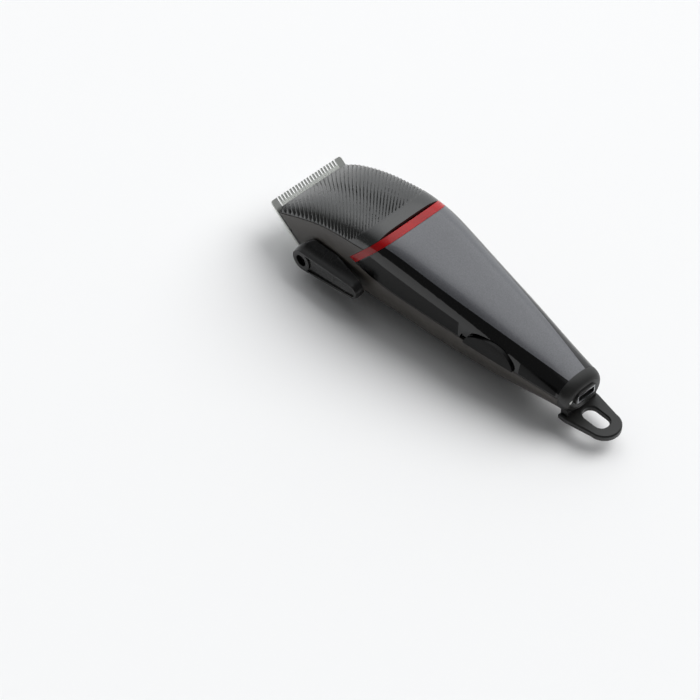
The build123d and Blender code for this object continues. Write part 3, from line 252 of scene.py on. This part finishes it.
# %% [markdown]
# ## Inner materials
# The pieces inside are seen only when the clipper is opened. They use the same recipe as the
# shells with the colours of nylon, PVC, foam and circuit board.
# %% Nylon, PVC, foam, board and lens
white_nylon = moulded_abs("natural_nylon", "d8d5c8", "e4e1d6", 0.45)
cell_sleeve = moulded_abs("shrink_pvc_blue", "28567c", "33688f", 0.25, depth_mm=0.004)
foam = moulded_abs("eva_foam_grey", "3c3c3e", "565658", 0.85, grain_mm=0.8, depth_mm=0.15)
lead_pvc = moulded_abs("lead_pvc_red", "9c1712", "b2241c", 0.35, depth_mm=0.004)
board_laminate = moulded_abs("solder_mask_green", "0f4a28", "165c34", 0.28, grain_mm=0.5)
lens = moulded_abs("frosted_acrylic_lens", "d9dcd8", "eceeea", 0.20, depth_mm=0.004, coat=0.5)

# %% [markdown]
# ## Every CAD piece gets its finish
# The frame's pieces keep their shape. Assigning to the first material slot changes the look
# alone. Pieces that are modelled again further down give their finish to the new piece.
# %% Give the finishes out
FINISHES = {
    shell_abs: ["lower_shell"], cover_abs: ["head_cover"], gloss_abs: ["upper_shell"],
    ring_acrylic: ["trim_ring"], panel_lacquer: ["top_panel"],
    strip_abs: ["left_side_strip_front", "left_side_strip_rear", "right_side_strip_front",
                "right_side_strip_rear", "switch_button", "switch_knob", "switch_housing"],
    cap_abs: ["end_cap", "motor_end_bell", "socket_tongue"],
    lever_nylon: ["taper_lever", "blade_carrier", "lever_washer"],
    blade_steel: ["fixed_blade", "moving_blade", "slide_retainer", "pressure_spring"],
    bright_steel: ["charging_socket", "battery_tabs", "motor_can", "motor_shaft", "motor_bracket",
                   "motor_armature", "lever_cam", "board_screws", "motor_screws"],
    black_oxide: ["case_screws", "blade_screws", "retainer_screws", "lever_screw"],
    bronze: ["motor_bushing"], magnet: ["motor_magnets"], copper: ["motor_commutator"],
    white_nylon: ["cutter_follower", "eccentric_cam"], cell_sleeve: ["battery_cell"],
    foam: ["battery_foam"], lead_pvc: ["battery_leads", "motor_leads"],
    board_laminate: ["circuit_board"], lens: ["charge_led"],
}
finish_of = {node: material for material, nodes in FINISHES.items() for node in nodes}
for node, piece in frame["nodes"].items():
    piece.data.materials.clear()
    piece.data.materials.append(finish_of[node])
print(len(frame["nodes"]), "pieces have a finish")

# %% [markdown]
# ## Soft moulded edges
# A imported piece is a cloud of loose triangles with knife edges. On a real moulding every edge
# has a small radius. The copy of a piece is joined up first, and its sharp edges are found
# by the angle between their faces. Everything between them is shaded smooth. The thumb
# lever's edges are also rounded: its flat faces are first made whole, then bevelled.
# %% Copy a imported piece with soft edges
JOIN_MM = 0.002                      # corners nearer than this are one
FLAT_DEGREES = 1.5                   # faces flatter than this to each other are one
SHARP_DEGREES = 32
ROUNDED_SHARP_DEGREES = 40           # what stays sharp once the edges are rounded


def body_of(node):
    """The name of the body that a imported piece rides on."""
    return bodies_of(frame["nodes"][node])[0]


def new_piece(name, mesh, node):
    """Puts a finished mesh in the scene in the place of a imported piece."""
    piece = bpy.data.objects.new(name, mesh)
    bpy.context.scene.collection.objects.link(piece)
    mesh.materials.clear()
    mesh.materials.append(finish_of[node])
    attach(piece, body_of(node))
    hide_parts(node)
    print(f"{name}: {len(mesh.polygons)} faces")
    return piece


def joined(node):
    """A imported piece's triangles, joined where they meet."""
    bm = bmesh.new()
    bm.from_mesh(frame["nodes"][node].data)
    bmesh.ops.remove_doubles(bm, verts=bm.verts, dist=JOIN_MM * MM)
    return bm


def mark_sharp(bm, degrees):
    """Smooth shading everywhere but over edges sharper than an angle."""
    for face in bm.faces:
        face.smooth = True
    sharp = [e for e in bm.edges
             if len(e.link_faces) == 2 and e.calc_face_angle(0) > math.radians(degrees)]
    for edge in bm.edges:
        edge.smooth = True
    for edge in sharp:
        edge.smooth = False
    return sharp


def soft_copy(node, name, radius_mm=0.0):
    """A joined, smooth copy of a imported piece, its sharp edges rounded if a radius is given."""
    bm = joined(node)
    if radius_mm:
        bmesh.ops.dissolve_limit(bm, angle_limit=math.radians(FLAT_DEGREES), verts=bm.verts,
                                 edges=bm.edges)
    sharp = mark_sharp(bm, SHARP_DEGREES)
    if radius_mm:
        bmesh.ops.bevel(bm, geom=sharp, affect="EDGES", offset=radius_mm * MM, segments=2,
                        profile=0.5, material=-1, clamp_overlap=True)
        bmesh.ops.triangulate(bm, faces=bm.faces)
        mark_sharp(bm, ROUNDED_SHARP_DEGREES)
    mesh = bpy.data.meshes.new(name)
    bm.to_mesh(mesh)
    bm.free()
    return new_piece(name, mesh, node)


# %% Shells, panel, ring, strips, cap, carrier, switch and lever
SOFT = (
    ("lower_shell", "belly_shell", "shell_grey"),
    ("upper_shell", "handle_cover", "gloss_black"),
    ("trim_ring", "red_ring", "clear_red"),
    ("top_panel", "painted_panel", "panel_grey"),
    ("left_side_strip_front", "left_front_strip", "gloss_black"),
    ("left_side_strip_rear", "left_rear_strip", "gloss_black"),
    ("right_side_strip_front", "right_front_strip", "gloss_black"),
    ("right_side_strip_rear", "right_rear_strip", "gloss_black"),
    ("end_cap", "tail_cap", "matte_black"),
    ("blade_carrier", "carrier_frame", "matte_black"),
    ("switch_button", "slide_button", "gloss_black"),
)
for node, name, slot in SOFT:
    soft_copy(node, name)
soft_copy("taper_lever", "thumb_lever", radius_mm=0.5)

# %% [markdown]
# ## Ribs of the head
# The head is covered with fine slanting ribs, about 1.9 mm apart, that give the thumb its hold
# and end at a smooth band in front of the red ring. Ribs on a curved skin could be cut one
# by one, but they are easier to mould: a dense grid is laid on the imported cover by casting
# a ray at it for each point, and is then pressed in between the ribs. The ribs run diagonally
# and draw a little closer together on the lever's side.
# %% Sizes of the ribs and of the planes that end the cover, in mm
RIB_PITCH = 1.88
RIB_DEPTH = 0.62
RIB_SHAPE = 1.2                      # above 1 the grooves are narrower than the ribs
RIB_RUN_OUT = 1.2                    # over which the ribs fade out at the band
SEAM_SHARE = 1 / 22                  # the last share of the side, over which they fade out
RIB_HEADING = math.radians(46.6)     # the ribs' spacing runs along this heading in plan
RIB_CLOSING = 0.0055                 # how fast they draw together, for each mm
RIB_MIDDLE = -39.7                   # the rib that stays straight
RIB_NOMINAL = -70.0                  # where along the ribs their spacing is the pitch
BAND_WIDTH = 7.4                     # smooth band, along the clipper
COVER_WALL = 1.2
TIP = Vector((-85.0, 0.0, 20.8)) * MM
PLANE_ALONG = Vector((math.cos(BLADE_TURN), 0.0, -math.sin(BLADE_TURN)))
LIP_BACK = 4.3                       # front edge of the cover, back from the blade's tips
SEAT_HEIGHT = 2.8                    # the cover's lower edge in front, above the blade
RING_GAP = 0.15                      # between the cover and the ring
RING_FOOT = Vector((-35.1 - RING_GAP, 0.0, 25.3)) * MM
RING_NORMAL = Vector((1.0, 0.0, -0.815)).normalized()
cover_bm = joined("head_cover")
cover_tree = BVHTree.FromBMesh(cover_bm)
cover_bm.free()
low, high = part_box("head_cover")
print("cover from", round(low.x / MM, 1), "to", round(high.x / MM, 1), "mm")


# %% Height of the cover's lower edge, felt with level rays from the side
FLOOR_Z, CEILING_Z = 15 * MM, 45 * MM     # below and above the cover
FIRST_STEP, LAST_STEP = 0.4 * MM, 0.004 * MM
OUTSIDE = 60 * MM                         # a ray starts this far from the middle


def meets(x, z):
    """Whether a level ray from the lever's side meets the cover."""
    return cover_tree.ray_cast(Vector((x, -OUTSIDE, z)), Vector((0, 1, 0)), 45 * MM)[0]


def lower_edge(x):
    """Lowest height in metres at which a level ray meets the cover, felt upwards."""
    z, step = FLOOR_Z, FIRST_STEP
    while step > LAST_STEP:
        while z < CEILING_Z and not meets(x, z):
            z += step
        z, step = z - step, step / 4
    return z + 4 * step


stations = np.linspace(low.x + 4 * MM, low.x + 50 * MM, 24)
heights = np.array([lower_edge(x) for x in stations])
front_slope = (heights[3] - heights[0]) / (stations[3] - stations[0])
rear_slope = (heights[-1] - heights[-4]) / (stations[-1] - stations[-4])
print("lower edge at", [round(z / MM, 2) for z in heights[::4]])

# %% Distance from the axis to the skin on a grid of rays
ALONG, AROUND = 230, 150
ABOVE_EDGE = 0.06                    # the axis lies this far above the lower edge, in mm
SMOOTH_ROUNDS = 3
END_RUN = 8                          # points over which an end slope is measured
grid_x = np.linspace(low.x - 3 * MM, high.x + 1 * MM, ALONG + 1)
turns = np.linspace(-math.pi / 2, math.pi / 2, AROUND + 1)
reach = np.full((AROUND + 1, ALONG + 1), np.nan)
axis_z = np.interp(grid_x, stations, heights) + ABOVE_EDGE * MM
axis_z += np.minimum(grid_x - stations[0], 0) * front_slope
axis_z += np.maximum(grid_x - stations[-1], 0) * rear_slope
for j, turn in enumerate(turns):
    out = Vector((0, math.sin(turn), math.cos(turn)))
    for i, x in enumerate(grid_x):
        axis = Vector((x, 0, axis_z[i]))
        spot = cover_tree.ray_cast(axis + out * OUTSIDE, -out, 58 * MM)[0]
        if spot and (spot - TIP).dot(PLANE_ALONG) > (LIP_BACK + 0.03) * MM:
            reach[j, i] = (spot - axis).length


def carried_on(line):
    """Fills the ends of a row by carrying its end slopes on."""
    known = np.flatnonzero(~np.isnan(line))
    first, last = known[0] + 1, known[-1] - 1
    index = np.arange(len(line))
    front = line[first] + (index - first) * (line[first + END_RUN] - line[first]) / END_RUN
    rear = line[last] + (index - last) * (line[last] - line[last - END_RUN]) / END_RUN
    line = np.where(index < first, front, np.where(index > last, rear, line))
    blank = np.isnan(line)
    line[blank] = np.interp(index[blank], index[~blank], line[~blank])
    return line


reach = np.array([carried_on(line) for line in reach])
for _ in range(SMOOTH_ROUNDS):
    reach[:, 1:-1] = (reach[:, :-2] + 2 * reach[:, 1:-1] + reach[:, 2:]) / 4
    reach[1:-1] = (reach[:-2] + 2 * reach[1:-1] + reach[2:]) / 4
print("reach from", round(reach.min() / MM, 1), "to", round(reach.max() / MM, 1), "mm")


# %% Depth of the ribs at a point of the skin
def ease(value):
    """Smooth step from 0 to 1."""
    value = min(1.0, max(0.0, value))
    return value * value * (3 - 2 * value)


def groove(spot, side):
    """How far the skin is pressed in, in metres. side is 0 at the top and 1 at the seam."""
    x, y = spot.x / MM, spot.y / MM
    across = x * math.cos(RIB_HEADING) + y * math.sin(RIB_HEADING)
    towards = x * math.sin(RIB_HEADING) - y * math.cos(RIB_HEADING)
    closing = 1 - RIB_CLOSING * (towards - RIB_NOMINAL)
    wave = abs(math.sin(math.pi * (across - RIB_MIDDLE) / (closing * RIB_PITCH)))
    ahead = (RING_FOOT - spot).dot(RING_NORMAL) / RING_NORMAL.x / MM
    fade = ease((ahead - BAND_WIDTH) / RIB_RUN_OUT) * ease((1 - side) / SEAM_SHARE)
    return RIB_DEPTH * MM * (1 - wave) ** RIB_SHAPE * fade


# %% The ribbed cover
COVER_SHARP_DEGREES = 55
bm = bmesh.new()
bmesh.ops.create_grid(bm, x_segments=ALONG, y_segments=AROUND, size=0.5)
for vert in bm.verts:
    i = round((vert.co.x + 0.5) * ALONG)
    j = round((vert.co.y + 0.5) * AROUND)
    out = Vector((0, math.sin(turns[j]), math.cos(turns[j])))
    skin = Vector((grid_x[i], 0, axis_z[i])) + out * reach[j, i]
    vert.co = skin - out * groove(skin, abs(turns[j]) / (math.pi / 2))
seat = Vector((math.sin(BLADE_TURN), 0.0, math.cos(BLADE_TURN)))
cuts = ((TIP + PLANE_ALONG * LIP_BACK * MM, -PLANE_ALONG), (RING_FOOT, RING_NORMAL),
        (TIP + seat * SEAT_HEIGHT * MM, -seat))
for place, normal in cuts:
    bmesh.ops.bisect_plane(bm, geom=bm.verts[:] + bm.edges[:] + bm.faces[:], dist=1e-7,
                           plane_co=place, plane_no=normal, clear_outer=True)
front = [e for e in bm.edges if e.is_boundary and
         all(abs((v.co - TIP).dot(PLANE_ALONG) - LIP_BACK * MM) < 1e-6 for v in e.verts)]
ends = [v for v in {v for e in front for v in e.verts}
        if sum(e in front for e in v.link_edges) == 1]
print("front edges:", len(front), "ends:", len(ends))
if len(ends) == 2:
    front.append(bm.edges.new(ends))
    bmesh.ops.contextual_create(bm, geom=front)
bmesh.ops.recalc_face_normals(bm, faces=bm.faces)
if sum(f.normal.z * f.calc_area() for f in bm.faces) < 0:
    bmesh.ops.reverse_faces(bm, faces=bm.faces)
bmesh.ops.solidify(bm, geom=bm.faces[:], thickness=COVER_WALL * MM)
bmesh.ops.triangulate(bm, faces=bm.faces)
for face in bm.faces:
    face.smooth = True
sharp = math.radians(COVER_SHARP_DEGREES)
for edge in bm.edges:
    edge.smooth = len(edge.link_faces) != 2 or edge.calc_face_angle(0) < sharp
ribbed = bpy.data.meshes.new("ribbed_cover")
bm.to_mesh(ribbed)
bm.free()
new_piece("ribbed_cover", ribbed, "head_cover")

# %% [markdown]
# ## Floor, light and camera
# The clipper lies on a white sweep. The studio is bright behind and on the left and darker in
# front, which keeps the near side darker than the top. A wide soft sun stands for the light
# that the ceiling throws back; it shows in no reflection.
# %% Floor
bm = bmesh.new()
bmesh.ops.create_grid(bm, x_segments=2, y_segments=2, size=3.0)
floor_mesh = bpy.data.meshes.new("floor")
bm.to_mesh(floor_mesh)
bm.free()
floor = bpy.data.objects.new("floor", floor_mesh)
bpy.context.scene.collection.objects.link(floor)
paper, place = empty_material("white_paper")
fibre = add(paper, "ShaderNodeTexNoise", {"Vector": (place, "Object"), "Scale": 1 / (2 * MM)})
paper_gloss = add(paper, "ShaderNodeMapRange", {"Value": (fibre, "Fac"), "To Min": 0.7,
                                                "To Max": 0.9})
paper_shader = add(paper, "ShaderNodeBsdfPrincipled",
                   {"Base Color": linear("f4f4f4"), "Roughness": (paper_gloss, "Result"),
                    "Specular IOR Level": 0.2})
add(paper, "ShaderNodeOutputMaterial", {"Surface": (paper_shader, "BSDF")})
floor_mesh.materials.append(paper)


# %% Light
BRIGHT_SIDE = (-0.5, 0.75, 0.43)     # the bright side of the studio: behind, on the left
DIM, BRIGHT = 0.12, 1.15             # strength of the studio away from that side and on it
BOUNCE_ALONG = (-0.30, -0.62, -0.72)
BOUNCE_STRENGTH = 2.3
BOUNCE_SPREAD = math.radians(50)


def soft_box(name, place, aim, size, watts):
    """A rectangular area light that looks at a point."""
    light = bpy.data.lights.new(name, "AREA")
    light.shape = "RECTANGLE"
    light.size, light.size_y = size
    light.energy = watts
    lamp = bpy.data.objects.new(name, light)
    lamp.location = place
    lamp.rotation_euler = (Vector(aim) - Vector(place)).to_track_quat("-Z", "Y").to_euler()
    bpy.context.scene.collection.objects.link(lamp)


soft_box("overhead_box", (-0.35, 0.6, 1.3), (0, 0, 0), (1.4, 1.4), 3)
bounce = bpy.data.lights.new("ceiling_bounce", "SUN")
bounce.energy = BOUNCE_STRENGTH
bounce.angle = BOUNCE_SPREAD
ceiling = bpy.data.objects.new("ceiling_bounce", bounce)
ceiling.rotation_euler = Vector(BOUNCE_ALONG).to_track_quat("-Z", "Y").to_euler()
ceiling.visible_glossy = False
bpy.context.scene.collection.objects.link(ceiling)
world = bpy.data.worlds.new("studio")
world.use_nodes = True
sky = add(world, "ShaderNodeTexCoord")
towards = add(world, "ShaderNodeVectorMath", {0: (sky, "Generated"), 1: BRIGHT_SIDE},
              operation="DOT_PRODUCT")
spread = add(world, "ShaderNodeMapRange", {"Value": (towards, "Value"), "From Min": 0.15,
                                           "From Max": 0.95, "To Min": DIM, "To Max": BRIGHT},
             interpolation_type="SMOOTHSTEP")
background = world.node_tree.nodes["Background"]
background.inputs["Color"].default_value = linear("f4f6f8")
world.node_tree.links.new(spread.outputs["Result"], background.inputs["Strength"])
bpy.context.scene.world = world
bpy.context.scene.view_settings.view_transform = "Standard"

# %% Camera
VIEW_FROM = Vector((0.569499, -0.593227, 0.897198))
VIEW_ALONG = Vector((-0.48422, 0.45835, -0.74528))
lens_data = bpy.data.cameras.new("camera")
lens_data.sensor_width = 36.0
lens_data.lens = 148.4
camera = bpy.data.objects.new("camera", lens_data)
camera.location = VIEW_FROM
camera.rotation_mode = "QUATERNION"
camera.rotation_quaternion = VIEW_ALONG.to_track_quat("-Z", "Y")
bpy.context.scene.collection.objects.link(camera)
bpy.context.scene.camera = camera
